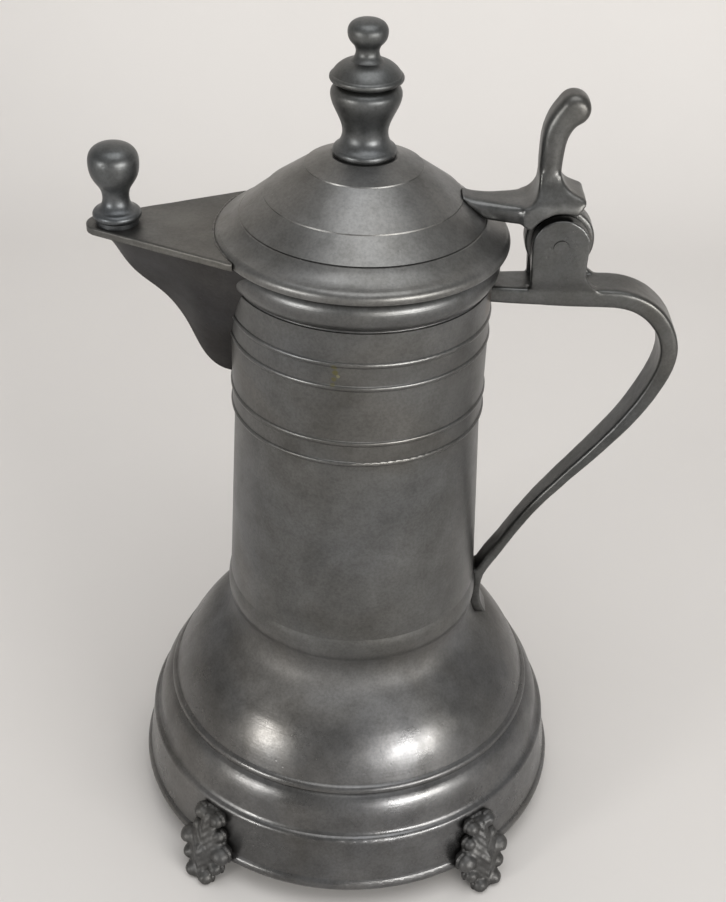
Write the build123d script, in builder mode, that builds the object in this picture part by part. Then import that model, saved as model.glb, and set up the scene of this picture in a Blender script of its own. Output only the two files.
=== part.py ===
"""A cast pewter flagon: a tapering tube on a bell-shaped base with four small
feet, a beak spout, a strap handle and a hinged lid that also covers the spout.

The turned axis is Z. The spout points along -X and the handle along +X.
The table is at z = 0. All sizes are in millimetres.
"""

import os
from math import cos, radians, sin

from build123d import *

# Base: heights are above the underside of the foot ring
stand_height = 9.0
base_height = 88.0
base_wall = 2.2
foot_ring_radius = 84.9
foot_bead_proud = 2.3
foot_bead_height = 5.2
foot_bead_notch = 0.5
fascia_inset = 1.5
fascia_top_height = 23.8
fascia_edge_round = 2.6
cavetto_inset = 4.8
cavetto_height = 30.6
moulding_inset = 6.6
moulding_height = 36.9
ridge_inset = 9.9
ridge_height = 41.7
ridge_groove = 0.4
ridge_bead_width = 3.2
dome_bulge = 1.9
flare_height = 15.0
flare_reach = 4.6
foot_bead_radius = foot_ring_radius + foot_bead_proud
fascia_top_radius = foot_ring_radius - fascia_inset
cavetto_radius = foot_ring_radius - cavetto_inset
moulding_radius = foot_ring_radius - moulding_inset
ridge_radius = foot_ring_radius - ridge_inset

# Floor disc soldered into a rebate in the base
floor_ledge = 1.7
floor_thickness = 2.2
floor_recess = 5.0
floor_radius = foot_ring_radius - floor_ledge

# Body tube: heights below the mouth are called drops
tube_height = 152.6
tube_wall = 2.3
mouth_radius = 43.4
tube_foot_spread = 6.0
collar_wall = 2.9
collar_step = 0.8
collar_drop = 65.3
line_drops = (24.6, 33.6, 55.8)
line_proud = 0.55
line_width = 2.2
rim_bead_width = 5.3
rim_bead_height = 12.0
rim_groove = 0.6
rim_lip_width = 2.2
foot_band_height = 9.5
foot_band_proud = 0.6
spigot_height = 6.0
spigot_wall = 2.0
tube_foot_radius = mouth_radius + tube_foot_spread
collar_radius = mouth_radius + collar_wall
rim_bead_radius = mouth_radius + rim_bead_width

# Spout
spout_reach = 92.0
spout_root_lap = 13.4
# how far the keel is below the mouth, at an even spacing from the root to the tip
spout_keel_drops = (57.0, 56.4, 55.8, 54.8, 50.2, 37.9, 27.1, 20.9, 15.5, 6.3, 1.0)
spout_wall = 1.8
spout_keel_fill = 1.6
spout_entry_half_width = 15.0
spout_entry_top_drop = 14.0
spout_entry_low_drop = 49.0
spout_entry_corner = 3.0

# Lid
lid_gap = 0.3
lid_wall = 1.9
flange_overhang = 2.6
flange_edge_height = 4.2
flange_round = 1.8
flange_hollow = 0.8
flange_width = 8.9
cone_foot_height = 9.6
cone_line_inset = 8.2
cone_line_height = 16.4
cone_ring_radius = 20.3
cone_ring_height = 26.6
lid_top_margin = 0.7
lid_top_height = 30.5
lid_step = 0.45
locating_depth = 4.4
locating_wall = 1.9
locating_clearance = 0.5
flange_radius = rim_bead_radius + flange_overhang
cone_foot_radius = flange_radius - flange_width
cone_line_radius = cone_foot_radius - cone_line_inset

# Finial: heights are above the flat top of the lid
finial_foot_radius = 10.9
finial_foot_height = 2.8
finial_waist_radius = 7.7
finial_waist_height = 7.8
finial_bulb_radius = 11.9
finial_bulb_height = 20.6
finial_joint_radius = 9.6
finial_joint_height = 24.2
saucer_radius = 12.3
saucer_height = 26.6
finial_neck_radius = 3.9
finial_neck_height = 34.4
finial_ball_radius = 6.6
finial_ball_half_height = 4.8
finial_ball_height = 40.5
ball_cut_angle = 42
finial_spigot_radius = 3.0
finial_spigot_length = 5.0
spigot_clearance = 0.05
lid_top_radius = finial_foot_radius + lid_top_margin

# Spout cover plate and its knob
plate_thickness = 2.8
plate_tip_setback = 3.5
plate_tip_radius = 7.2
plate_half_angle = 25.8
plate_overhang = 1.9
plate_edge_round = 0.7
plate_tip_center = spout_reach - plate_tip_setback
knob_setback = 3.9
knob_foot_radius = 8.4
knob_ring_radius = 7.4
knob_ring_height = 1.6
knob_foot_height = 5.0
knob_neck_radius = 4.8
knob_neck_height = 11.4
knob_ball_radius = 8.7
knob_ball_half_height = 6.6
knob_ball_height = 22.0
knob_reach = plate_tip_center - knob_setback

# Hinge: the axis runs along Y
hinge_standoff = 16.7
hinge_rise = 2.6
lug_radius = 10.0
lug_outer_face = 10.0
knuckle_half_width = 4.6
knuckle_side_gap = 0.3
relief_clearance = 2.0
pin_radius = 2.0
pin_running_clearance = 0.06
pin_press_clearance = 0.01
pin_head_radius = 2.6
pin_head_depth = 0.3
hinge_reach = flange_radius + hinge_standoff
knuckle_radius = lug_radius + relief_clearance

# Lid bracket with its thumb lever
tongue_root_lap = 2.2
tongue_root_width = 11.2
tongue_middle = 13.0
tongue_thickness = 6.8
tongue_edge_round = 2.4
bracket_half_width = 10.0
shoulder_wall = 5.6
shoulder_reach = 7.2
lever_lead = 9.6
lever_thickness = 7.2
lever_pad_thickness = 10.4
lever_width = 10.0
lever_pad_width = 11.6
lever_edge_round = 3.3
lever_height = 51.8
lever_pad_radius = 5.5
lever_pad_round = 3.2
lever_curl = 0.2

# Handle strap
strap_top_drop = 14.6
strap_thickness = 6.0
strap_width = 14.0
strap_end_thickness = 4.2
strap_end_width = 10.4
strap_edge_round = 1.5
strap_landing_ease = 0.3
handle_bow = 43.6
handle_elbow_drop = 38.5
handle_foot_rise = 9.0
tail_length = 12.0
tail_thickness = 3.0
handle_reach = hinge_reach + handle_bow
# how far along the strap's lower part bends, as shares of its way in and down from the elbow to the foot
strap_bends = ((0.050, 0.143), (0.242, 0.343), (0.666, 0.662), (0.889, 0.876))

# Feet
foot_angles = {
    "foot_front_left": 232,
    "foot_front_right": 308,
    "foot_back_left": 128,
    "foot_back_right": 52,
}
foot_height = stand_height + fascia_top_height
foot_toe_radius = 3.3
foot_toe_flat = 0.4
foot_boss_radius = 4.2
foot_boss_proud = 3.4
foot_boss_height = 15.0
# the middle of each foot from the toe up: height, distance from the axis, depth and width
foot_sections = (
    (1.2, foot_bead_radius + 5.0, 7.0, 10.0),
    (stand_height, foot_bead_radius + 2.6, 9.0, 16.0),
    (stand_height + 7, foot_bead_radius + 1.4, 9.0, 19.0),
    (stand_height + 14, fascia_top_radius + 4.0, 8.0, 11.0),
    (foot_height - 0.8, fascia_top_radius + 1.8, 6.0, 12.0),
)
# the lobes on either side: height, distance from the axis, distance from the middle and radius
foot_lobes = (
    (foot_toe_radius - foot_toe_flat, foot_bead_radius + 6.6, 3.4, foot_toe_radius),
    (8.6, foot_bead_radius + 4.2, 6.6, 3.3),
    (15.5, foot_bead_radius + 2.4, 8.2, 4.2),
    (22.5, foot_bead_radius + 0.2, 5.2, 2.9),
    (foot_height - 2.7, fascia_top_radius + 3.4, 4.2, 3.0),
)

# Levels worked out from the sizes above
ring_z = stand_height
seat_z = ring_z + base_height
mouth_z = seat_z + tube_height
collar_z = mouth_z - collar_drop
lid_z = mouth_z + lid_gap
lid_top_z = lid_z + lid_top_height
plate_z = lid_z
knob_z = plate_z + plate_thickness
axis_z = lid_z + hinge_rise
strap_z = mouth_z - strap_top_drop - strap_thickness / 2
tube_low_inner = tube_foot_radius - tube_wall
skin = 0.02

os.makedirs("parts", exist_ok=True)


def write(builder, name):
    """Labels a finished piece and writes its file."""
    builder.part.label = name
    export_step(builder.part, f"parts/{name}.step")


def base_outer_outline(grow=0.0):
    """The outside of the base, from the underside of the foot ring up to the tube's seat."""
    bead = (foot_bead_radius + grow, ring_z + foot_bead_height / 2)
    bead_top = (foot_bead_radius - 1.0 + grow, ring_z + foot_bead_height)
    notch = (bead_top[0] - foot_bead_notch, bead_top[1] + foot_bead_notch)
    fascia = (fascia_top_radius + grow, ring_z + fascia_top_height)
    edge = (fascia[0] - fascia_edge_round * 0.7, fascia[1] + fascia_edge_round)
    edge_middle = (fascia[0] - fascia_edge_round * 0.18, fascia[1] + fascia_edge_round * 0.62)
    cavetto = (cavetto_radius + grow, ring_z + cavetto_height)
    moulding = (moulding_radius + grow, ring_z + moulding_height)
    ridge = (ridge_radius + grow, ring_z + ridge_height)
    groove = (ridge[0] - ridge_groove, ridge[1] + ridge_groove)
    ridge_bead = (groove[0], groove[1] + ridge_bead_width / 2)
    dome = (ridge[0] - ridge_bead_width * 0.7, groove[1] + ridge_bead_width)
    flare = (tube_foot_radius + flare_reach + grow, seat_z - flare_height)
    seat = (tube_foot_radius + grow, seat_z)
    Line((0, ring_z), (foot_ring_radius + grow, ring_z))
    ThreePointArc((foot_ring_radius + grow, ring_z), bead, bead_top)
    Line(bead_top, notch)
    Line(notch, fascia)
    ThreePointArc(fascia, edge_middle, edge)
    Spline(edge, cavetto, moulding, ridge, tangents=[(-1, 0.8), (-1, 0.7)])
    Line(ridge, groove)
    ThreePointArc(groove, ridge_bead, dome)
    dome_middle = ((dome[0] + flare[0]) / 2 + dome_bulge, (dome[1] + flare[1]) / 2 + dome_bulge * 0.6)
    dome_arc = ThreePointArc(dome, dome_middle, flare)
    TangentArc(flare, seat, tangent=dome_arc % 1)
    Line(seat, (0, seat_z))
    Line((0, seat_z), (0, ring_z))


def tube_outer_outline():
    """The outside of the body tube, from its seat on the base up to the mouth."""
    band_top_z = seat_z + foot_band_height
    above_band = (tube_foot_radius - foot_band_proud, band_top_z)
    band = (tube_foot_radius + foot_band_proud / 2, seat_z + foot_band_height * 0.6)
    collar_foot = (collar_radius - collar_step, collar_z)
    bead_z = mouth_z - rim_bead_height
    lip = (mouth_radius + rim_lip_width, mouth_z)
    Line((0, seat_z), (tube_foot_radius, seat_z))
    ThreePointArc((tube_foot_radius, seat_z), band, above_band)
    Line(above_band, collar_foot)
    collar_edge = (collar_radius, collar_z + line_width)
    ThreePointArc(collar_foot, (collar_radius + line_proud, collar_z + line_width / 2), collar_edge)
    below = collar_edge
    for drop in reversed(line_drops):
        line_low = (collar_radius, mouth_z - drop - line_width / 2)
        line_high = (collar_radius, mouth_z - drop + line_width / 2)
        Line(below, line_low)
        ThreePointArc(line_low, (collar_radius + line_proud, mouth_z - drop), line_high)
        below = line_high
    groove_low = (collar_radius, bead_z - rim_groove)
    bead_low = (collar_radius, bead_z + rim_groove)
    Line(below, groove_low)
    ThreePointArc(groove_low, (collar_radius - rim_groove, bead_z), bead_low)
    ThreePointArc(bead_low, (rim_bead_radius, mouth_z - rim_bead_height * 0.55), lip)
    Line(lip, (0, mouth_z))
    Line((0, mouth_z), (0, seat_z))


with BuildPart() as base_blank:
    with BuildSketch(Plane.XZ):
        with BuildLine():
            base_outer_outline()
        make_face()
    revolve(axis=Axis.Z)

# a quarter of the base with the thickness of the solder added, to which the feet are cut
solder_plane = Plane((0, 0, 0), x_dir=(1, -1, 0), z_dir=(-1, -1, 0))
with BuildPart() as solder_blank:
    with BuildSketch(solder_plane):
        with BuildLine():
            base_outer_outline(skin)
        make_face()
    revolve(axis=Axis.Z, revolution_arc=90)

with BuildPart() as tube_blank:
    with BuildSketch(Plane.XZ):
        with BuildLine():
            tube_outer_outline()
        make_face()
    revolve(axis=Axis.Z)


# Body tube
with BuildPart() as body:
    add(tube_blank)
    with BuildSketch(Plane.XZ):
        with BuildLine():
            Polyline(
                (0, seat_z - 1),
                (tube_low_inner, seat_z - 1),
                (tube_low_inner, seat_z + spigot_height + 1),
                (mouth_radius, collar_z),
                (mouth_radius, mouth_z + 1),
                (0, mouth_z + 1),
                close=True,
            )
        make_face()
    revolve(axis=Axis.Z, mode=Mode.SUBTRACT)
    with BuildSketch(Plane.YZ.offset(-mouth_radius)) as entry:
        with BuildLine():
            Polyline(
                (0, mouth_z - spout_entry_low_drop),
                (spout_entry_half_width, mouth_z - spout_entry_top_drop),
                (-spout_entry_half_width, mouth_z - spout_entry_top_drop),
                close=True,
            )
        make_face()
        fillet(entry.vertices(), spout_entry_corner)
    extrude(amount=mouth_radius / 3, both=True, mode=Mode.SUBTRACT)
write(body, "body")


# Base skirt: a bell-shaped shell with a neck that fits inside the tube
with BuildPart() as base_skirt:
    add(base_blank)
    neck_radius = tube_low_inner - spigot_clearance
    with Locations((0, 0, seat_z)):
        Cylinder(neck_radius, spigot_height, align=(Align.CENTER, Align.CENTER, Align.MIN))
    inside_neck = neck_radius - spigot_wall
    rebate_z = ring_z + floor_recess + floor_thickness
    ridge_inner = ridge_radius - base_wall * 1.5
    with BuildSketch(Plane.XZ):
        with BuildLine():
            low = (floor_radius - base_wall, rebate_z)
            at_fascia = (fascia_top_radius - base_wall * 1.6, ring_z + fascia_top_height)
            at_ridge = (ridge_inner, ring_z + ridge_height)
            at_flare = (tube_foot_radius + flare_reach - base_wall * 1.35, seat_z - flare_height)
            at_seat = (inside_neck, seat_z - base_wall)
            Polyline(
                (0, ring_z - 1),
                (floor_radius, ring_z - 1),
                (floor_radius, rebate_z),
                low,
                at_fascia,
                at_ridge,
                at_flare,
                at_seat,
                (inside_neck, seat_z + spigot_height + 1),
                (0, seat_z + spigot_height + 1),
                close=True,
            )
        make_face()
    revolve(axis=Axis.Z, mode=Mode.SUBTRACT)
write(base_skirt, "base_skirt")


# Floor disc
with BuildPart() as base_floor:
    with Locations((0, 0, ring_z + floor_recess)):
        Cylinder(floor_radius - skin, floor_thickness, align=(Align.CENTER, Align.CENTER, Align.MIN))
write(base_floor, "base_floor")


def spout_half_width(reach):
    """Half the spout's width at the top, which follows the edge of its cover plate."""
    from_tip = plate_tip_center - reach
    edge = (from_tip * sin(radians(plate_half_angle)) + plate_tip_radius) / cos(radians(plate_half_angle))
    return edge - plate_overhang


def spout_outline(reach, depth, inset, top):
    """One V across the spout, drawn in from the outside by inset."""
    half = spout_half_width(reach) - inset
    Polyline((0, mouth_z - depth + inset * spout_keel_fill), (half, top), (-half, top), close=True)


# Spout: a folded V-shaped beak, open on top, whose root follows the tube
spout_root = mouth_radius - spout_root_lap
keel_spacing = (spout_reach - spout_root) / (len(spout_keel_drops) - 1)
spout_keel = [(spout_root + step * keel_spacing, drop) for step, drop in enumerate(spout_keel_drops)]
with BuildPart() as spout:
    for reach, depth in spout_keel:
        with BuildSketch(Plane.YZ.offset(-reach)):
            with BuildLine():
                spout_outline(reach, depth, 0, mouth_z)
            make_face()
    loft()
    for reach, depth in spout_keel[:-2]:
        with BuildSketch(Plane.YZ.offset(-reach)):
            with BuildLine():
                spout_outline(reach, depth, spout_wall, mouth_z + 1)
            make_face()
    loft(mode=Mode.SUBTRACT)
    add(tube_blank, mode=Mode.SUBTRACT)
write(spout, "spout")


# Lid: a stepped cone with a broad flange and a ring that drops into the mouth
def lid_outer_outline():
    """The outside of the lid, from the rim of its flange to its flat top."""
    edge_low = (flange_radius - 0.4, lid_z)
    edge_mid = (flange_radius, lid_z + flange_edge_height * 0.45)
    edge_top = (flange_radius - flange_round, lid_z + flange_edge_height)
    cone_foot = (cone_foot_radius, lid_z + cone_foot_height)
    Line((0, lid_z), edge_low)
    ThreePointArc(edge_low, edge_mid, edge_top)
    flange_end = (cone_foot_radius + lid_step, lid_z + cone_foot_height - lid_step)
    flange_middle = ((edge_top[0] + flange_end[0]) / 2, (edge_top[1] + flange_end[1]) / 2 - flange_hollow)
    ThreePointArc(edge_top, flange_middle, flange_end)
    Line(flange_end, (cone_foot_radius - lid_step, lid_z + cone_foot_height - lid_step / 2))
    Line((cone_foot_radius - lid_step, lid_z + cone_foot_height - lid_step / 2), cone_foot)
    line = (cone_line_radius, lid_z + cone_line_height)
    ring = (cone_ring_radius, lid_z + cone_ring_height)
    Line(cone_foot, line)
    Line(line, (line[0] - 0.1, line[1] + lid_step))
    Line((line[0] - 0.1, line[1] + lid_step), ring)
    Line(ring, (ring[0] - 0.1, ring[1] + lid_step))
    Line((ring[0] - 0.1, ring[1] + lid_step), (lid_top_radius, lid_top_z))
    Line((lid_top_radius, lid_top_z), (0, lid_top_z))
    Line((0, lid_top_z), (0, lid_z))


with BuildPart() as lid_blank:
    with BuildSketch(Plane.XZ):
        with BuildLine():
            lid_outer_outline()
        make_face()
    revolve(axis=Axis.Z)

with BuildPart() as lid:
    add(lid_blank)
    ring_radius = mouth_radius - locating_clearance
    with Locations((0, 0, lid_z)):
        Cylinder(ring_radius, locating_depth, align=(Align.CENTER, Align.CENTER, Align.MAX))
    bore = ring_radius - locating_wall
    with BuildSketch(Plane.XZ):
        with BuildLine():
            Polyline(
                (0, lid_z - locating_depth - 1),
                (bore, lid_z - locating_depth - 1),
                (bore, lid_z + cone_foot_height - lid_wall * 1.9),
                (cone_line_radius - lid_wall * 0.9, lid_z + cone_line_height - lid_wall),
                (cone_ring_radius - lid_wall * 0.9, lid_z + cone_ring_height - lid_wall),
                (lid_top_radius - lid_wall, lid_top_z - lid_wall),
                (0, lid_top_z - lid_wall),
                close=True,
            )
        make_face()
    revolve(axis=Axis.Z, mode=Mode.SUBTRACT)
write(lid, "lid")


# Finial stem: a turned baluster standing on the lid
with BuildPart() as finial_stem:
    with BuildSketch(Plane.XZ):
        with BuildLine():
            foot_top = (finial_foot_radius - 0.6, lid_top_z + finial_foot_height)
            waist = (finial_waist_radius, lid_top_z + finial_waist_height)
            bulb = (finial_bulb_radius, lid_top_z + finial_bulb_height)
            joint = (finial_joint_radius, lid_top_z + finial_joint_height)
            Line((0, lid_top_z), (finial_foot_radius - 0.5, lid_top_z))
            foot_side = (finial_foot_radius, lid_top_z + finial_foot_height / 2)
            ThreePointArc((finial_foot_radius - 0.5, lid_top_z), foot_side, foot_top)
            Spline(foot_top, waist, bulb, joint, tangents=[(-0.8, 0.5), (-0.9, 0.5)])
            Line(joint, (0, joint[1]))
            Line((0, joint[1]), (0, lid_top_z))
        make_face()
    revolve(axis=Axis.Z)
    with Locations((0, 0, lid_top_z + finial_joint_height)):
        Cylinder(
            finial_spigot_radius + spigot_clearance,
            finial_spigot_length + spigot_clearance,
            align=(Align.CENTER, Align.CENTER, Align.MAX),
            mode=Mode.SUBTRACT,
        )
write(finial_stem, "finial_stem")


# Finial cap: the saucer, neck and ball, with a spigot into the stem
with BuildPart() as finial_cap:
    with BuildSketch(Plane.XZ):
        with BuildLine():
            joint_z = lid_top_z + finial_joint_height
            saucer = (saucer_radius, lid_top_z + saucer_height)
            neck = (finial_neck_radius, lid_top_z + finial_neck_height)
            ball_z = lid_top_z + finial_ball_height
            crown = (0, ball_z + finial_ball_half_height)
            ball_side = (finial_ball_radius, ball_z)
            ball_low = (
                finial_ball_radius * cos(radians(ball_cut_angle)),
                ball_z - finial_ball_half_height * sin(radians(ball_cut_angle)),
            )
            Line((0, joint_z), (finial_joint_radius, joint_z))
            under = (saucer_radius - 0.9, joint_z + 0.9)
            Line((finial_joint_radius, joint_z), under)
            saucer_top = (saucer_radius - 0.8, saucer[1] + 1.0)
            ThreePointArc(under, saucer, saucer_top)
            shoulder = (finial_neck_radius + 1.6, neck[1] - 2.6)
            shoulder_mid = ((saucer_top[0] + shoulder[0]) / 2 + 0.6, (saucer_top[1] + shoulder[1]) / 2 + 0.6)
            ThreePointArc(saucer_top, shoulder_mid, shoulder)
            ThreePointArc(shoulder, neck, ball_low)
            Spline(ball_low, ball_side, crown, tangents=[(1, 0.9), (-1, 0)])
            Line(crown, (0, joint_z))
        make_face()
    revolve(axis=Axis.Z)
    with Locations((0, 0, joint_z)):
        Cylinder(
            finial_spigot_radius,
            finial_spigot_length,
            align=(Align.CENTER, Align.CENTER, Align.MAX),
        )
write(finial_cap, "finial_cap")


# Spout cover: a flat plate soldered to the rim of the flange
with BuildPart() as spout_cover:
    root_reach = cone_foot_radius
    root_half = spout_half_width(root_reach) + plate_overhang
    tangent_x = plate_tip_center + plate_tip_radius * sin(radians(plate_half_angle))
    tangent_y = plate_tip_radius * cos(radians(plate_half_angle))
    with BuildSketch(Plane.XY.offset(plate_z)):
        with BuildLine():
            Line((-root_reach, -root_half), (-tangent_x, -tangent_y))
            tip_end = (-plate_tip_center - plate_tip_radius, 0)
            ThreePointArc((-tangent_x, -tangent_y), tip_end, (-tangent_x, tangent_y))
            Line((-tangent_x, tangent_y), (-root_reach, root_half))
            Line((-root_reach, root_half), (-root_reach, -root_half))
        make_face()
    extrude(amount=plate_thickness)
    top_edges = spout_cover.faces().sort_by(Axis.Z)[-1].edges().sort_by(Axis.X)
    fillet(top_edges[:3], plate_edge_round)
    add(lid_blank, mode=Mode.SUBTRACT)
write(spout_cover, "spout_cover")


# Spout knob: a turned mushroom knob near the tip of the plate
with BuildPart() as spout_knob:
    with BuildSketch(Plane.XZ):
        with BuildLine():
            ring_low = (-knob_reach + knob_ring_radius, knob_z)
            ring_high = (-knob_reach + knob_ring_radius, knob_z + knob_ring_height)
            foot_edge = (-knob_reach + knob_foot_radius, knob_z + knob_foot_height - 1.4)
            foot_high = (-knob_reach + knob_foot_radius - 1.2, knob_z + knob_foot_height)
            neck = (-knob_reach + knob_neck_radius, knob_z + knob_neck_height)
            ball_z = knob_z + knob_ball_height
            ball_side = (-knob_reach + knob_ball_radius, ball_z)
            crown = (-knob_reach, ball_z + knob_ball_half_height)
            Line((-knob_reach, knob_z), ring_low)
            Line(ring_low, ring_high)
            ThreePointArc(ring_high, foot_edge, foot_high)
            Spline(foot_high, neck, ball_side, tangents=[(-1, 0.35), (0, 1)])
            Spline(ball_side, crown, tangents=[(0, 1), (-1, 0)])
            Line(crown, (-knob_reach, knob_z))
        make_face()
    revolve(axis=Axis((-knob_reach, 0, 0), (0, 0, 1)))
write(spout_knob, "spout_knob")


# Lid bracket: a tongue on the lid, the middle knuckle and the thumb lever
def shoulder_outline():
    """The mass between tongue, lever and knuckle, seen from the side."""
    tongue_end = (lever_front - 4.4, tongue_z + tongue_thickness / 2 - 0.2)
    lever_root = (lever_front + 0.3, shoulder_z + 7.0)
    lever_back = (lever_front + lever_thickness + 0.4, shoulder_z + 7.0)
    heel_back = (hinge_reach + shoulder_reach, shoulder_z - 2.0)
    heel = (hinge_reach + shoulder_reach - 2.0, axis_z + knuckle_radius)
    Spline(tongue_end, lever_root, tangents=[(1, 0.15), (-0.06, 1)])
    Line(lever_root, lever_back)
    Spline(lever_back, heel_back, heel, tangents=[(0.25, -1), (-0.6, -1)])
    Polyline(heel, (hinge_reach, axis_z), (tongue_end[0], tongue_z - tongue_thickness / 2 + 0.2), tongue_end)


lever_front = hinge_reach - lever_lead
tongue_z = lid_z + tongue_middle
shoulder_z = axis_z + knuckle_radius + shoulder_wall
with BuildPart() as lid_bracket:
    with BuildSketch(Plane.XZ):
        with BuildLine():
            shoulder_outline()
        make_face()
    extrude(amount=bracket_half_width, both=True)
    # seen from the end, the shoulder draws in to the width of the lever
    with BuildSketch(Plane.YZ.offset(lever_front - 8)):
        with BuildLine():
            for side in (-1, 1):
                low = (side * bracket_half_width, axis_z - 1)
                wide = (side * bracket_half_width, axis_z + lug_radius + 1)
                narrow = (side * lever_width / 2, shoulder_z + 8)
                Line((0, axis_z - 1), low)
                Line(low, wide)
                Spline(wide, narrow, tangents=[(0, 1), (0, 1)])
                Line(narrow, (0, shoulder_z + 8))
        make_face()
    extrude(amount=2 * lug_radius + lever_lead + 10, mode=Mode.INTERSECT)
    # tongue
    with BuildLine(Plane.XZ) as tongue_spine:
        tongue_root = (cone_line_radius - tongue_root_lap, lid_z + cone_line_height - 1.2)
        Spline(
            tongue_root,
            (tongue_root[0] + 10, tongue_z + 0.1),
            (lever_front - 2.4, tongue_z),
            tangents=[(1, -0.5), (1, 0)],
        )
    path = tongue_spine.wire()
    tongue_widths = ((0, tongue_root_width), (0.45, tongue_root_width + 1.6), (1, 2 * bracket_half_width))
    for share, width in tongue_widths:
        with BuildSketch(Plane(path @ share, x_dir=(0, 1, 0), z_dir=path % share)):
            RectangleRounded(width, tongue_thickness, tongue_edge_round)
    sweep(path=path, multisection=True)
    # lever, which leans backwards and grows into a thick rounded pad
    lever_x = lever_front + lever_thickness / 2
    pad_center = (hinge_reach + lever_curl, axis_z + lever_height - lever_pad_radius)
    with BuildLine(Plane.XZ) as lever_spine:
        Spline(
            (lever_x + 0.4, shoulder_z - 4),
            (lever_x + 0.4, axis_z + lever_height * 0.6),
            (lever_x + 2.3, axis_z + lever_height * 0.8),
            pad_center,
            tangents=[(0, 1), (0.8, 0.6)],
        )
    path = lever_spine.wire()
    lever_growth = ((0, 0), (0.5, 0.3), (1, 1))
    for share, grown in lever_growth:
        width = lever_width + grown * (lever_pad_width - lever_width)
        thickness = lever_thickness + grown * (lever_pad_thickness - lever_thickness)
        with BuildSketch(Plane(path @ share, x_dir=(0, 1, 0), z_dir=path % share)):
            RectangleRounded(width, thickness, lever_edge_round)
    sweep(path=path, multisection=True)
    with BuildSketch(Plane.XY.offset(pad_center[1])):
        with Locations((pad_center[0], 0)):
            RectangleRounded(2 * lever_pad_radius, lever_pad_width, lever_pad_round)
            Rectangle(
                lever_pad_radius,
                lever_pad_width,
                align=(Align.MAX, Align.CENTER),
                mode=Mode.SUBTRACT,
            )
    revolve(axis=Axis((pad_center[0], 0, pad_center[1]), (0, 1, 0)))
    # the sides are relieved over the lugs, and the knuckle goes right round the pin
    for side in (-1, 1):
        with BuildSketch(Plane.XZ.offset(side * knuckle_half_width)):
            with Locations((hinge_reach, axis_z)):
                Circle(knuckle_radius)
        extrude(amount=side * bracket_half_width, mode=Mode.SUBTRACT)
    with BuildSketch(Plane.XZ):
        with Locations((hinge_reach, axis_z)):
            Circle(knuckle_radius)
    extrude(amount=knuckle_half_width, both=True)
    with BuildSketch(Plane.XZ):
        with Locations((hinge_reach, axis_z)):
            Circle(pin_radius + pin_running_clearance)
    extrude(amount=bracket_half_width, both=True, mode=Mode.SUBTRACT)
    add(lid_blank, mode=Mode.SUBTRACT)
write(lid_bracket, "lid_bracket")


# Handle: a flat strap that bends down to the base, with two hinge lugs on top
def handle_spine():
    """The middle line of the strap, seen from the side."""
    elbow_z = mouth_z - handle_elbow_drop
    way_in = handle_reach - strap_foot[0]
    way_down = elbow_z - strap_foot[1]
    bends = [(handle_reach - inward * way_in, elbow_z - down * way_down) for inward, down in strap_bends]
    Line((mouth_radius, strap_z), strap_bend)
    Spline(
        strap_bend,
        (handle_reach - 11.2, strap_z - 3.4),
        (handle_reach - 3.4, strap_z - 11.2),
        (handle_reach, elbow_z),
        *bends,
        strap_foot,
        tangents=[(1, 0), (-0.35, -1)],
        tangent_scalars=(1, strap_landing_ease),
    )


def lug_root_outline():
    """The root of a lug, which flares out backwards along the strap."""
    front = (hinge_reach - lug_radius * 0.98, axis_z - lug_radius * 0.2)
    back = (hinge_reach + lug_radius * 0.98, axis_z - lug_radius * 0.2)
    waist = (hinge_reach + lug_radius * 1.02, strap_top_z + 6.0)
    strap_end = (hinge_reach + lug_radius * 1.9, strap_top_z - 0.7)
    Line(front, (hinge_reach - lug_radius * 0.88, strap_z))
    Line((hinge_reach - lug_radius * 0.88, strap_z), (strap_end[0], strap_z))
    Line((strap_end[0], strap_z), strap_end)
    Spline(strap_end, waist, back, tangents=[(-1, 0.12), (0, 1)])
    Line(back, front)


strap_top_z = strap_z + strap_thickness / 2
lug_inner_face = knuckle_half_width + knuckle_side_gap
lug_width = lug_outer_face - lug_inner_face
with BuildPart() as hinge_lugs:
    for side in (-1, 1):
        with BuildSketch(Plane.XZ.offset(side * (lug_inner_face + lug_width / 2))):
            with Locations((hinge_reach, axis_z)):
                Circle(lug_radius)
            with BuildLine():
                lug_root_outline()
            make_face()
        extrude(amount=lug_width / 2, both=True)
    # seen from the end, the lugs draw in to the width of the strap at their roots
    with BuildSketch(Plane.YZ.offset(mouth_radius)):
        with BuildLine():
            for side in (-1, 1):
                high = (side * lug_outer_face, axis_z + lug_radius + 1)
                wide = (side * lug_outer_face, strap_top_z + 7.0)
                narrow = (side * (strap_width / 2 - 0.1), strap_z)
                Line((0, strap_z), narrow)
                Spline(narrow, wide, tangents=[(side * 0.1, 1), (0, 1)])
                Line(wide, high)
                Line(high, (0, high[1]))
        make_face()
    extrude(amount=handle_reach, mode=Mode.INTERSECT)


strap_bend = (hinge_reach + lug_radius * 2, strap_z)
strap_foot = (tube_foot_radius + strap_end_thickness / 2 + foot_band_proud, seat_z + handle_foot_rise)

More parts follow.
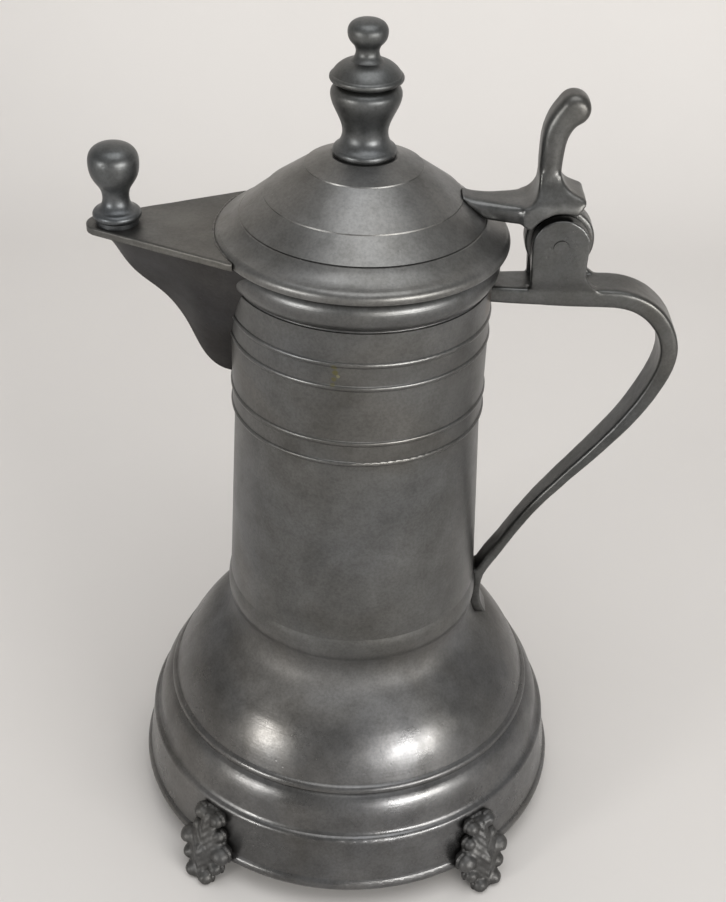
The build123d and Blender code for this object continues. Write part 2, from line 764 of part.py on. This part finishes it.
with BuildPart() as handle:
    with BuildLine(Plane.XZ) as spine:
        handle_spine()
    path = spine.wire()
    with BuildSketch(Plane(path @ 0, x_dir=(0, 1, 0), z_dir=path % 0)):
        RectangleRounded(strap_width, strap_thickness, strap_edge_round)
    with BuildSketch(Plane(path @ 0.45, x_dir=(0, 1, 0), z_dir=path % 0.45)):
        RectangleRounded(strap_width, strap_thickness, strap_edge_round)
    with BuildSketch(Plane(path @ 0.75, x_dir=(0, 1, 0), z_dir=path % 0.75)):
        RectangleRounded(strap_end_width, strap_end_thickness, strap_edge_round)
    with BuildSketch(Plane(path @ 1, x_dir=(0, 1, 0), z_dir=path % 1)):
        RectangleRounded(strap_end_width, strap_end_thickness, strap_edge_round)
    sweep(path=path, multisection=True)
    # tail that lies down over the joint between the tube and the base
    with BuildSketch(Plane.XZ):
        with BuildLine():
            tail_top = (strap_foot[0] + strap_end_thickness / 2, strap_foot[1] + 0.8)
            tail_knee = (tube_foot_radius + tail_thickness + 0.2, seat_z - 1)
            tail_tip = (tube_foot_radius + flare_reach + tail_thickness * 0.5, seat_z - tail_length)
            ThreePointArc(tail_top, tail_knee, tail_tip)
            Polyline(tail_tip, (mouth_radius, tail_tip[1]), (mouth_radius, tail_top[1]), tail_top)
        make_face()
    extrude(amount=strap_end_width / 2, both=True)
    add(hinge_lugs)
    # bore for the pin, then the strap is fitted to the tube and the base
    with BuildSketch(Plane.XZ):
        with Locations((hinge_reach, axis_z)):
            Circle(pin_radius + pin_press_clearance)
    extrude(amount=lug_outer_face + 1, both=True, mode=Mode.SUBTRACT)
    add(tube_blank, mode=Mode.SUBTRACT)
    add(base_blank, mode=Mode.SUBTRACT)
write(handle, "handle")


# Hinge pin, peened over at both ends
with BuildPart() as hinge_pin:
    pin_plane = Plane.XZ.offset(-lug_outer_face)
    with BuildSketch(pin_plane):
        with Locations((hinge_reach, axis_z)):
            Circle(pin_radius)
    extrude(amount=2 * lug_outer_face)
    for side in (-1, 1):
        with BuildSketch(Plane.XZ.offset(side * lug_outer_face)):
            with Locations((hinge_reach, axis_z)):
                Circle(pin_head_radius)
        extrude(amount=side * pin_head_depth)
write(hinge_pin, "hinge_pin")


# Feet: small cast brackets of lobes and beads, each fitted to the side of the base
with BuildPart() as foot_blank:
    for height, reach, depth, width in foot_sections:
        with BuildSketch(Plane.XY.offset(height)):
            with Locations((reach, 0)):
                Ellipse(depth / 2, width / 2)
    loft()
    for height, reach, side, size in foot_lobes:
        with Locations((reach, side, height), (reach, -side, height)):
            Sphere(size)
    with Locations((foot_bead_radius + foot_boss_proud, 0, foot_boss_height)):
        Sphere(foot_boss_radius)
    with BuildSketch(Plane.XY):
        Rectangle(3 * foot_bead_radius, 3 * foot_bead_radius)
    extrude(amount=-stand_height, mode=Mode.SUBTRACT)
    add(solder_blank, mode=Mode.SUBTRACT)


def make_foot(name, angle):
    """One foot turned round to its place under the base."""
    with BuildPart() as foot:
        add(foot_blank.part, rotation=(0, 0, angle))
    write(foot, name)


for foot_name, foot_angle in foot_angles.items():
    make_foot(foot_name, foot_angle)
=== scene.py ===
"""Looks for a pewter flagon with a hinged lid. Metres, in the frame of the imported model."""

import math

import bmesh
import bpy
from mathutils import Matrix, Vector, noise


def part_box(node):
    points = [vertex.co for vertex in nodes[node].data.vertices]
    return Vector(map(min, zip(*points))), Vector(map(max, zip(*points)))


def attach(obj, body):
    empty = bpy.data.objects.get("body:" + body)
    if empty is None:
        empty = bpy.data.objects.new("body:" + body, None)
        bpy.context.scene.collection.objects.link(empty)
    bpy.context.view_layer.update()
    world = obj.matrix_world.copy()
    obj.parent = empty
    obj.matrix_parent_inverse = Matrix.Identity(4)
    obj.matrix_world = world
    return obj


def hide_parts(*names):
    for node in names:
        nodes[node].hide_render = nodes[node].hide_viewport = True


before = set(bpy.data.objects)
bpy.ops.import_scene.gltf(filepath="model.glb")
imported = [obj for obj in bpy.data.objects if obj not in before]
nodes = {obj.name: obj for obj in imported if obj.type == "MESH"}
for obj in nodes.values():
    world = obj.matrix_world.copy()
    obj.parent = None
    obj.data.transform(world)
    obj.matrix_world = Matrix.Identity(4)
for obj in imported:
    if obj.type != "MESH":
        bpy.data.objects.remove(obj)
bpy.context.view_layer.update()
MM = 0.001

# Places taken from the frame
body_low, body_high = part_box("body")
lid_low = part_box("lid")[0]
pin_low, pin_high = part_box("hinge_pin")
plate_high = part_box("spout_cover")[1]
knob_low, knob_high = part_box("spout_knob")
hinge = (pin_low + pin_high) / 2
mouth_z = body_high.z
# degrees round the axis, from the handle
foot_angles = {
    "foot_front_left": 232,
    "foot_front_right": 308,
    "foot_back_left": 128,
    "foot_back_right": 52,
}

white = (1.0, 1.0, 1.0)


# Materials


class Nodes:
    """A small helper that adds and links shader nodes."""

    def __init__(self, name):
        self.material = bpy.data.materials.new(name)
        self.material.use_nodes = True
        self.tree = self.material.node_tree
        self.tree.nodes.clear()
        self.output = self.add("ShaderNodeOutputMaterial")
        self.shader = self.add("ShaderNodeBsdfPrincipled")
        self.link(self.shader, "BSDF", self.output, "Surface")

    def add(self, kind, **settings):
        node = self.tree.nodes.new(kind)
        for key, value in settings.items():
            setattr(node, key, value)
        return node

    def link(self, source, out, target, into):
        self.tree.links.new(source.outputs[out], target.inputs[into])

    def put(self, target, into, value):
        """Sets a socket from a number, a colour, or a (node, output) pair."""
        if isinstance(value, tuple) and len(value) == 2 and hasattr(value[0], "outputs"):
            self.tree.links.new(value[0].outputs[value[1]], target.inputs[into])
        else:
            target.inputs[into].default_value = value

    def math(self, operation, a, b=0.0):
        node = self.add("ShaderNodeMath", operation=operation)
        self.put(node, 0, a)
        self.put(node, 1, b)
        return (node, 0)

    def noise(self, vector, scale, detail=4.0, rough=0.55, distortion=0.0):
        node = self.add("ShaderNodeTexNoise")
        self.put(node, "Vector", vector)
        node.inputs["Scale"].default_value = scale
        node.inputs["Detail"].default_value = detail
        node.inputs["Roughness"].default_value = rough
        node.inputs["Distortion"].default_value = distortion
        return (node, "Fac")

    def ramp(self, value, stops):
        node = self.add("ShaderNodeValToRGB")
        self.put(node, "Fac", value)
        ramp = node.color_ramp
        for index, (place, colour) in enumerate(stops):
            element = ramp.elements[index] if index < 2 else ramp.elements.new(place)
            element.position = place
            element.color = (*colour, 1.0)
        return (node, "Color")

    def mix(self, factor, a, b, blend="MIX"):
        node = self.add("ShaderNodeMix", data_type="RGBA", blend_type=blend)
        self.put(node, 0, factor)
        self.put(node, 6, (*a, 1.0) if len(a) == 3 else a)
        self.put(node, 7, (*b, 1.0) if len(b) == 3 else b)
        return (node, 2)

    def map_range(self, value, low, high, to_low, to_high, smooth=False):
        node = self.add("ShaderNodeMapRange")
        if smooth:
            node.interpolation_type = "SMOOTHSTEP"
        self.put(node, 0, value)
        for index, number in enumerate((low, high, to_low, to_high), start=1):
            node.inputs[index].default_value = number
        return (node, 0)

    def near(self, place, centre, radius, ragged=0.5, scale=600.0):
        """One inside a ragged patch round a point, fading to nothing at its edge."""
        offset = self.add("ShaderNodeVectorMath", operation="DISTANCE")
        self.put(offset, 0, place)
        offset.inputs[1].default_value = centre
        edge = self.noise(place, scale, detail=4.0, rough=0.7)
        reach = self.math("MULTIPLY", edge, radius * 2 * ragged)
        distance = self.math("ADD", (offset, "Value"), reach)
        return self.map_range(distance, radius * (0.55 + ragged), radius * (1.0 + ragged), 1.0, 0.0, True)


def pewter(
    name,
    dark,
    light,
    roughness=0.34,
    mottle=0.08,
    turned=None,
    streak=0.45,
    grain=0.5,
    dirt_and_shade=0.6,
    swell=0.30,
    stains_and_reflections=(),
    dull=None,
):
    """Old pewter: cloudy grey with faint brown and green tints, small pits and, if turned, lathe marks.

    turned is the x and y of the lathe's axis, and streak how far the lathe marks stretch a highlight.
    stains are (centre, radius, colour, strength) patches, some of them real marks on the metal and some
    painted reflections. dull is (height, fade): above that height the metal is duller, and the change is
    spread over twice the fade.
    """
    n = Nodes(name)
    coords = n.add("ShaderNodeTexCoord")
    place = (coords, "Object")

    cloud = n.noise(place, 24.0, detail=6.0, rough=0.62, distortion=0.4)
    blotch = n.noise(place, 80.0, detail=5.0, rough=0.62)
    fine = n.noise(place, 900.0, detail=3.0, rough=0.7)
    tint = n.noise(place, 14.0, detail=3.0, rough=0.5, distortion=0.8)

    grey = n.ramp(cloud, [(0.30, dark), (0.70, light)])
    spots = n.ramp(blotch, [(0.32, (0.66, 0.65, 0.63)), (0.60, white)])
    colour = n.mix(0.6, grey, spots, "MULTIPLY")
    tints = n.ramp(tint, [(0.38, (1.0, 0.975, 0.94)), (0.50, white), (0.64, (0.97, 0.985, 1.02))])
    colour = n.mix(0.9, colour, tints, "MULTIPLY")
    grit = n.ramp(fine, [(0.36, (0.70, 0.70, 0.69)), (0.60, (1.05, 1.05, 1.05))])
    colour = n.mix(0.5, colour, grit, "MULTIPLY")
    for centre, radius, patch, strength in stains_and_reflections:
        mask = n.math("MULTIPLY", n.near(place, centre, radius), strength)
        colour = n.mix(mask, colour, patch)

    # Painted shade: the colour is darkened where ambient occlusion finds other surfaces within 5 mm, in
    # creases, grooves and between parts, and the same darkening stands for dirt there.
    crevice = n.add("ShaderNodeAmbientOcclusion")
    crevice.samples = 4
    crevice.inputs["Distance"].default_value = 0.005
    shade = n.ramp((crevice, "AO"), [(0.35, (0.26, 0.24, 0.22)), (0.85, white)])
    colour = n.mix(dirt_and_shade, colour, shade, "MULTIPLY")
    n.put(n.shader, "Base Color", colour)

    rough_noise = n.noise(place, 46.0, detail=6.0, rough=0.68)
    worn = n.map_range(rough_noise, 0.3, 0.7, roughness - mottle, roughness + mottle)
    if dull is not None:
        level = n.add("ShaderNodeSeparateXYZ")
        n.put(level, 0, place)
        change_height, fade = dull
        duller = n.map_range((level, 2), change_height - fade, change_height + fade, 0.0, 0.26, True)
        worn = n.math("ADD", worn, duller)
    n.put(n.shader, "Roughness", worn)
    n.shader.inputs["Metallic"].default_value = 0.92
    n.shader.inputs["Specular IOR Level"].default_value = 0.5

    # heights: cast or beaten unevenness, grain, pits and lathe marks
    height = n.math("MULTIPLY", n.noise(place, 55.0, detail=2.0, rough=0.5), swell)
    height = n.math("ADD", height, n.math("MULTIPLY", fine, 0.05 * grain))
    pit = n.add("ShaderNodeTexVoronoi", feature="F1")
    n.put(pit, "Vector", place)
    pit.inputs["Scale"].default_value = 260.0
    hole = n.map_range((pit, "Distance"), 0.0, 0.16, -0.12, 0.0)
    mask = n.map_range(n.noise(place, 55.0, detail=2.0), 0.52, 0.66, 0.0, 1.0)
    height = n.math("ADD", height, n.math("MULTIPLY", hole, mask))
    if turned is not None:
        shift = n.add("ShaderNodeVectorMath", operation="SUBTRACT")
        n.put(shift, 0, place)
        shift.inputs[1].default_value = (turned[0], turned[1], 0.0)
        split = n.add("ShaderNodeSeparateXYZ")
        n.link(shift, 0, split, 0)
        square = n.math("ADD", n.math("POWER", (split, 0), 2.0), n.math("POWER", (split, 1), 2.0))
        line = n.add("ShaderNodeCombineXYZ")
        n.put(line, 0, n.math("SQRT", square))
        n.put(line, 2, (split, 2))
        rings = n.noise((line, 0), 1500.0, detail=2.0, rough=0.6)
        broad = n.noise((line, 0), 300.0, detail=2.0, rough=0.6)
        faded = n.map_range(n.noise(place, 30.0, detail=3.0), 0.35, 0.65, 0.25, 1.0)
        marks = n.math("ADD", n.math("MULTIPLY", rings, 0.05), n.math("MULTIPLY", broad, 0.10))
        height = n.math("ADD", height, n.math("MULTIPLY", marks, faded))
        n.shader.inputs["Anisotropic"].default_value = streak
        tangent = n.add("ShaderNodeTangent", direction_type="RADIAL", axis="Z")
        n.link(tangent, "Tangent", n.shader, "Tangent")
    bump = n.add("ShaderNodeBump")
    bump.inputs["Strength"].default_value = 0.55
    bump.inputs["Distance"].default_value = 0.0012
    n.put(bump, "Height", height)
    n.link(bump, "Normal", n.shader, "Normal")
    return n.material


axis = (0.0, 0.0)
knob_axis = ((knob_low.x + knob_high.x) / 2, 0.0)
# the flare of the base under the tube, which hands and polish don't reach
flare = 0.020
hollow = (body_low.z - flare, flare * 0.3)
green_brown = (0.125, 0.115, 0.05)
pale_green = (0.24, 0.23, 0.13)
rust = (0.115, 0.085, 0.062)
brown = (0.105, 0.088, 0.070)
pit_black = (0.02, 0.018, 0.016)
# a column of small stains between the upper two lines of the tube, and rust near the handle
tube_stains = [
    ((-0.0080, -0.0457, mouth_z - 0.0255), 0.0013, green_brown, 0.8),
    ((-0.0076, -0.0457, mouth_z - 0.0278), 0.0014, green_brown, 0.85),
    ((-0.0080, -0.0457, mouth_z - 0.0302), 0.0012, green_brown, 0.75),
    ((-0.0084, -0.0457, mouth_z - 0.0325), 0.0010, green_brown, 0.6),
    ((-0.0066, -0.0458, mouth_z - 0.0290), 0.0008, pale_green, 0.7),
    ((0.0452, -0.0120, mouth_z - 0.0180), 0.0060, rust, 0.5),
]
lid_stains = [((-0.0262, -0.0190, lid_low.z + 0.0205), 0.0007, pit_black, 1.0)]
# Painted reflection: the brown patch on the hinge knuckle stands for brownish surroundings mirrored in
# its side, not a mark on the metal.
knuckle_reflection_patch = [((hinge.x + 0.004, hinge.y, hinge.z - 0.002), 0.0095, brown, 0.75)]

# each metal: the darkest and lightest grey, the roughness and how much it varies, then what sets it apart
tube_metal = pewter(
    "pewter_tube",
    (0.104, 0.105, 0.103),
    (0.172, 0.173, 0.172),
    0.33,
    0.05,
    turned=axis,
    streak=0.6,
    stains_and_reflections=tube_stains,
)
base_metal = pewter(
    "pewter_base",
    (0.104, 0.104, 0.104),
    (0.184, 0.183, 0.182),
    0.32,
    0.11,
    turned=axis,
    streak=0.1,
    grain=0.8,
    dirt_and_shade=0.45,
    dull=hollow,
)
lid_metal = pewter(
    "pewter_lid",
    (0.142, 0.142, 0.138),
    (0.236, 0.235, 0.229),
    0.38,
    0.06,
    turned=axis,
    streak=0.3,
    dirt_and_shade=0.3,
    stains_and_reflections=lid_stains,
)
finial_metal = pewter(
    "pewter_finial", (0.100, 0.104, 0.104), (0.170, 0.175, 0.176), 0.42, 0.07, turned=axis, streak=0.3
)
knob_metal = pewter(
    "pewter_knob", (0.092, 0.097, 0.100), (0.155, 0.162, 0.166), 0.40, 0.07, turned=knob_axis, streak=0.3
)
strap_metal = pewter("pewter_strap", (0.074, 0.075, 0.074), (0.132, 0.134, 0.132), 0.34, 0.08, grain=0.9)
sheet_metal = pewter(
    "pewter_sheet", (0.030, 0.029, 0.030), (0.058, 0.056, 0.056), 0.48, 0.06, grain=0.8, swell=0.5
)
floor_metal = pewter(
    "pewter_floor", (0.080, 0.079, 0.076), (0.140, 0.138, 0.134), 0.44, 0.06, turned=axis, streak=0.2
)
plate_metal = pewter(
    "pewter_plate", (0.092, 0.090, 0.084), (0.150, 0.147, 0.138), 0.42, 0.07, grain=1.0, swell=0.5
)
foot_metal = pewter(
    "pewter_foot", (0.078, 0.077, 0.075), (0.140, 0.139, 0.136), 0.50, 0.08, grain=1.2, dirt_and_shade=0.5
)
pin_metal = pewter(
    "pin_metal", (0.072, 0.072, 0.070), (0.128, 0.129, 0.127), 0.38, 0.05, grain=1.0, dirt_and_shade=0.2
)
solder_metal = pewter(
    "solder_metal", (0.085, 0.083, 0.078), (0.180, 0.177, 0.170), 0.40, 0.10, grain=1.5, dirt_and_shade=0.8
)
bracket_metal = pewter(
    "pewter_bracket",
    (0.092, 0.093, 0.091),
    (0.162, 0.163, 0.160),
    0.37,
    0.08,
    grain=1.0,
    stains_and_reflections=knuckle_reflection_patch,
)

finish = {
    "body": tube_metal,
    "base_skirt": base_metal,
    "base_floor": floor_metal,
    "spout": sheet_metal,
    "handle": strap_metal,
    "hinge_pin": pin_metal,
    "foot_front_left": foot_metal,
    "foot_front_right": foot_metal,
    "foot_back_left": foot_metal,
    "foot_back_right": foot_metal,
    "lid": lid_metal,
    "lid_bracket": bracket_metal,
    "spout_cover": plate_metal,
    "spout_knob": knob_metal,
    "finial_stem": finial_metal,
    "finial_cap": finial_metal,
}
for name, material in finish.items():
    mesh = nodes[name].data
    mesh.materials.clear()
    mesh.materials.append(material)


# Cast pieces, softened and uneven


def softened(name, node, body, voxel, rounds):
    """Stands for a CAD node: the same shape as one even mesh, rounded like worn cast metal."""
    source = nodes[node]
    piece = bpy.data.objects.new(name, source.data.copy())
    piece.matrix_world = source.matrix_world
    bpy.context.scene.collection.objects.link(piece)
    remesh = piece.modifiers.new("even", "REMESH")
    remesh.mode = "VOXEL"
    remesh.voxel_size = voxel
    smooth = piece.modifiers.new("worn", "SMOOTH")
    smooth.factor = 0.5
    smooth.iterations = rounds
    depsgraph = bpy.context.evaluated_depsgraph_get()
    mesh = bpy.data.meshes.new_from_object(piece.evaluated_get(depsgraph))
    piece.modifiers.clear()
    piece.data = mesh
    mesh.materials.clear()
    mesh.materials.append(finish[node])
    for face in mesh.polygons:
        face.use_smooth = True
    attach(piece, body)
    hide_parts(node)
    return piece


def displaced(piece, node, depth_at):
    """Moves each point along its normal by depth_at(place, normal), kept inside the node's box."""
    low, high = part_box(node)
    mesh = piece.data
    to_world = piece.matrix_world
    from_world = to_world.inverted()
    normals = [vertex.normal.copy() for vertex in mesh.vertices]
    for vertex, normal in zip(mesh.vertices, normals):
        place = to_world @ vertex.co
        facing = (to_world.to_3x3() @ normal).normalized()
        moved = place + facing * depth_at(place, facing)
        moved = Vector([min(max(moved[k], low[k]), high[k]) for k in range(3)])
        vertex.co = from_world @ moved
    mesh.update()


def seated(piece, draw_in):
    """Moves points towards the jug's axis by draw_in(place), so that a rounded copy still meets it."""
    mesh = piece.data
    to_world = piece.matrix_world
    from_world = to_world.inverted()
    for vertex in mesh.vertices:
        place = to_world @ vertex.co
        inward = -Vector((place.x, place.y, 0)).normalized()
        vertex.co = from_world @ (place + inward * draw_in(place))
    mesh.update()


def lumps(place, size, seed):
    """Smooth noise between about -1 and 1, with features of the given size."""
    return noise.noise(place / size + Vector((seed, -seed, seed * 2.0)))


# Lid bracket and handle
def bracket_unevenness(place, facing):
    return 0.10 * MM * lumps(place, 5 * MM, 3.1)


def handle_unevenness(place, facing):
    return 0.12 * MM * lumps(place, 9 * MM, 7.7) + 0.05 * MM * lumps(place, 3 * MM, 1.3)


def strap_seat(place):
    """The strap's upper end and its tail reach a little further in than their roundings leave them."""
    upper_end_drop = 0.030
    if place.z > mouth_z - upper_end_drop:
        push, tube_side, fade = 1.8 * MM, 0.0465, 0.006
    else:
        push, tube_side, fade = 0.6 * MM, 0.0535, 0.004
    return push * max(0.0, 1 - max(0.0, place.x - tube_side) / fade)


bracket = softened("bracket_cast", "lid_bracket", "lid", 0.5 * MM, 30)
displaced(bracket, "lid_bracket", bracket_unevenness)
handle = softened("handle_cast", "handle", "jug", 0.5 * MM, 8)
displaced(handle, "handle", handle_unevenness)
seated(handle, strap_seat)


# Feet: a veined leaf with a middle rib, and a hollow eye and a hollow scroll on either side


def foot_relief(angle):
    """The depth of the pattern on a foot that stands at the given angle round the base.

    Sizes in here are in millimetres: side is measured from the middle of the foot, height from the floor.
    """
    leaf_half_width = 6.5
    vein_spacing = 3.6
    vein_slant = 1.1
    rib_width = 0.8
    eye_side, eye_height, eye_width, eye_length = 7.6, 13.0, 1.5, 1.8
    scroll_side, scroll_height, scroll_width, scroll_length = 5.0, 8.0, 1.3, 2.2
    sole = 0.9
    solder_reach = 0.7
    turn = math.radians(angle)
    outward = Vector((math.cos(turn), math.sin(turn), 0))
    sideways = Vector((-outward.y, outward.x, 0))

    def depth_at(place, facing):
        side = place.dot(sideways) / MM
        height = place.z / MM
        if facing.dot(outward) < -0.25:
            return solder_reach * MM
        if height <= sole:
            return 0.0
        front = max(0.0, facing.dot(outward))
        leaf = max(0.0, 1 - abs(side) / leaf_half_width) * front
        vein = math.cos((height - abs(side) * vein_slant) * math.tau / vein_spacing)
        rib = math.exp(-((side / rib_width) ** 2)) * front
        from_eye = ((abs(side) - eye_side) / eye_width) ** 2 + ((height - eye_height) / eye_length) ** 2
        from_scroll = ((abs(side) - scroll_side) / scroll_width) ** 2
        from_scroll += ((height - scroll_height) / scroll_length) ** 2
        hollows = -0.8 * math.exp(-from_eye) * front - 0.5 * math.exp(-from_scroll) * front
        rough = 0.10 * lumps(place, 1.6 * MM, angle * 0.37) + 0.22 * lumps(place, 4.0 * MM, angle * 0.11)
        return (0.18 * vein * leaf + 0.32 * rib + hollows + rough) * MM

    return depth_at


for foot, angle in foot_angles.items():
    piece = softened(foot.replace("foot", "cast_foot"), foot, "jug", 0.4 * MM, 22)
    displaced(piece, foot, foot_relief(angle))


# Spout cover: a hand-cut plate, and the rough solder where it meets the lid
def plate_unevenness(place, facing):
    """A wavy cut round the edge, and a plate that isn't quite flat."""
    edge = (-0.16 + 0.16 * lumps(place, 6 * MM, 5.5)) * MM * (1 - abs(facing.z))
    return edge + 0.10 * MM * lumps(place, 8 * MM, 2.2)


plate = softened("plate_cut", "spout_cover", "lid", 0.4 * MM, 3)
displaced(plate, "spout_cover", plate_unevenness)


def solder_seam():
    """A lumpy bead of solder round the joint of the plate and the flange, heaviest at the back edge."""
    # the seam follows the flange's rim and ends a few millimetres inside the plate's sides
    seam_radius = 0.0513
    half_angle = 31.0
    sunk = 0.3 * MM
    bead_radius = 0.55 * MM
    extra_radius = 0.9 * MM
    heavy_from = 0.72
    steps, around = 150, 12
    mesh = bpy.data.meshes.new("solder_seam")
    bm = bmesh.new()
    rows = []
    for step in range(steps + 1):
        share = step / steps
        angle = math.radians(180 + half_angle - 2 * half_angle * share)
        outward = Vector((math.cos(angle), math.sin(angle), 0))
        centre = outward * seam_radius + Vector((0, 0, plate_high.z - sunk))
        back = max(0.0, (share - heavy_from) / (1 - heavy_from))
        taper = math.sin(math.pi * min(max(share, 0.02), 0.98)) ** 0.3
        size = (bead_radius + extra_radius * back) * taper
        size *= 1 + 0.4 * lumps(centre, 3 * MM, 9.1)
        row = []
        for turn in range(around):
            about = math.tau * turn / around
            rim = outward * math.cos(about) + Vector((0, 0, 1)) * math.sin(about)
            place = centre + rim * size
            place += rim * 0.35 * MM * lumps(place, 1.2 * MM, 4.4) * (0.4 + back)
            row.append(bm.verts.new(place))
        rows.append(row)
    for low, high in zip(rows[:-1], rows[1:]):
        for turn in range(around):
            after = (turn + 1) % around
            bm.faces.new((low[turn], low[after], high[after], high[turn]))
    bm.faces.new(rows[0][::-1])
    bm.faces.new(rows[-1])
    bmesh.ops.recalc_face_normals(bm, faces=bm.faces)
    for face in bm.faces:
        face.smooth = True
    bm.to_mesh(mesh)
    bm.free()
    seam = bpy.data.objects.new("solder_seam", mesh)
    bpy.context.scene.collection.objects.link(seam)
    mesh.materials.append(solder_metal)
    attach(seam, "lid")


solder_seam()


# Floor, backdrop, lights and camera


def plain(name, colour, roughness):
    n = Nodes(name)
    coords = n.add("ShaderNodeTexCoord")
    soft = n.noise((coords, "Object"), 3.0, detail=3.0)
    shade = n.ramp(soft, [(0.3, tuple(c * 0.97 for c in colour)), (0.7, colour)])
    n.put(n.shader, "Base Color", shade)
    n.shader.inputs["Roughness"].default_value = roughness
    return n.material


def stage_sheet():
    """A floor that curves up into a backdrop."""
    mesh = bpy.data.meshes.new("stage_sheet")
    bm = bmesh.new()
    rows = []
    bend = 0.25
    back = 0.75
    front = -2.2
    top = 2.2
    half_width = 2.6
    bend_steps = 12
    across = [half_width * share for share in (-1, -0.5, 0, 0.5, 1)]
    profile = [(front, 0.0), (-1.0, 0.0), (0.0, 0.0), (back - bend, 0.0)]
    for step in range(1, bend_steps + 1):
        angle = math.radians(90) * step / bend_steps
        profile.append((back - bend + bend * math.sin(angle), bend - bend * math.cos(angle)))
    profile.append((back, top))
    for y, z in profile:
        rows.append([bm.verts.new((x, y, z)) for x in across])
    for low, high in zip(rows[:-1], rows[1:]):
        for index in range(len(across) - 1):
            bm.faces.new((low[index], low[index + 1], high[index + 1], high[index]))
    for face in bm.faces:
        face.smooth = True
    bm.to_mesh(mesh)
    bm.free()
    sheet = bpy.data.objects.new("stage_sheet", mesh)
    bpy.context.scene.collection.objects.link(sheet)
    mesh.materials.append(plain("stage", (0.74, 0.72, 0.70), 0.7))


stage_sheet()


def area_light(name, azimuth, elevation, distance, size, power, colour=(1, 1, 1)):
    """A soft light aimed at the middle of the jug; azimuth is from the front towards the handle side."""
    data = bpy.data.lights.new(name, "AREA")
    data.shape = "RECTANGLE"
    data.size, data.size_y = size
    data.energy = power
    data.color = colour
    lamp = bpy.data.objects.new(name, data)
    bpy.context.scene.collection.objects.link(lamp)
    turn, rise = math.radians(azimuth), math.radians(elevation)
    aim = Vector((0.0, 0.0, 0.15))
    level = Vector((math.sin(turn), -math.cos(turn), 0)) * math.cos(rise)
    spot = aim + distance * (level + Vector((0, 0, math.sin(rise))))
    lamp.location = spot
    lamp.rotation_euler = (aim - spot).to_track_quat("-Z", "Y").to_euler()


area_light("light_right", 38, 7, 1.6, (0.95, 0.28), 16.0, colour=(1.0, 0.975, 0.94))
area_light("light_left", -48, 7, 1.6, (0.32, 0.28), 7.5, colour=(1.0, 0.98, 0.95))
area_light("light_top", 20, 75, 1.5, (1.2, 1.2), 10.0)

world = bpy.data.worlds.new("world")
bpy.context.scene.world = world
world.use_nodes = True
world.node_tree.nodes["Background"].inputs["Color"].default_value = (0.79, 0.785, 0.78, 1.0)
world.node_tree.nodes["Background"].inputs["Strength"].default_value = 0.50

# The photograph's viewpoint
focal_pixels = 1400.0
frame_height_pixels = 902.0
camera_back = 0.4437
camera_height = 0.462
camera_data = bpy.data.cameras.new("camera")
camera_data.sensor_width = 36.0
camera_data.lens = focal_pixels / frame_height_pixels * camera_data.sensor_width
camera_data.clip_start = 0.01
camera = bpy.data.objects.new("camera", camera_data)
bpy.context.scene.collection.objects.link(camera)
pitch, yaw, roll = math.radians(34.26), math.radians(0.36), math.radians(1.91)
forward = Vector((math.sin(yaw) * math.cos(pitch), math.cos(yaw) * math.cos(pitch), -math.sin(pitch)))
level = forward.cross(Vector((0, 0, 1))).normalized()
upright = level.cross(forward)
right = math.cos(roll) * level + math.sin(roll) * upright
up = -math.sin(roll) * level + math.cos(roll) * upright
camera.matrix_world = Matrix(
    (
        (right.x, up.x, -forward.x, 0.0),
        (right.y, up.y, -forward.y, -camera_back),
        (right.z, up.z, -forward.z, camera_height),
        (0, 0, 0, 1),
    )
)
bpy.context.scene.camera = camera

bpy.context.scene.view_settings.view_transform = "Standard"
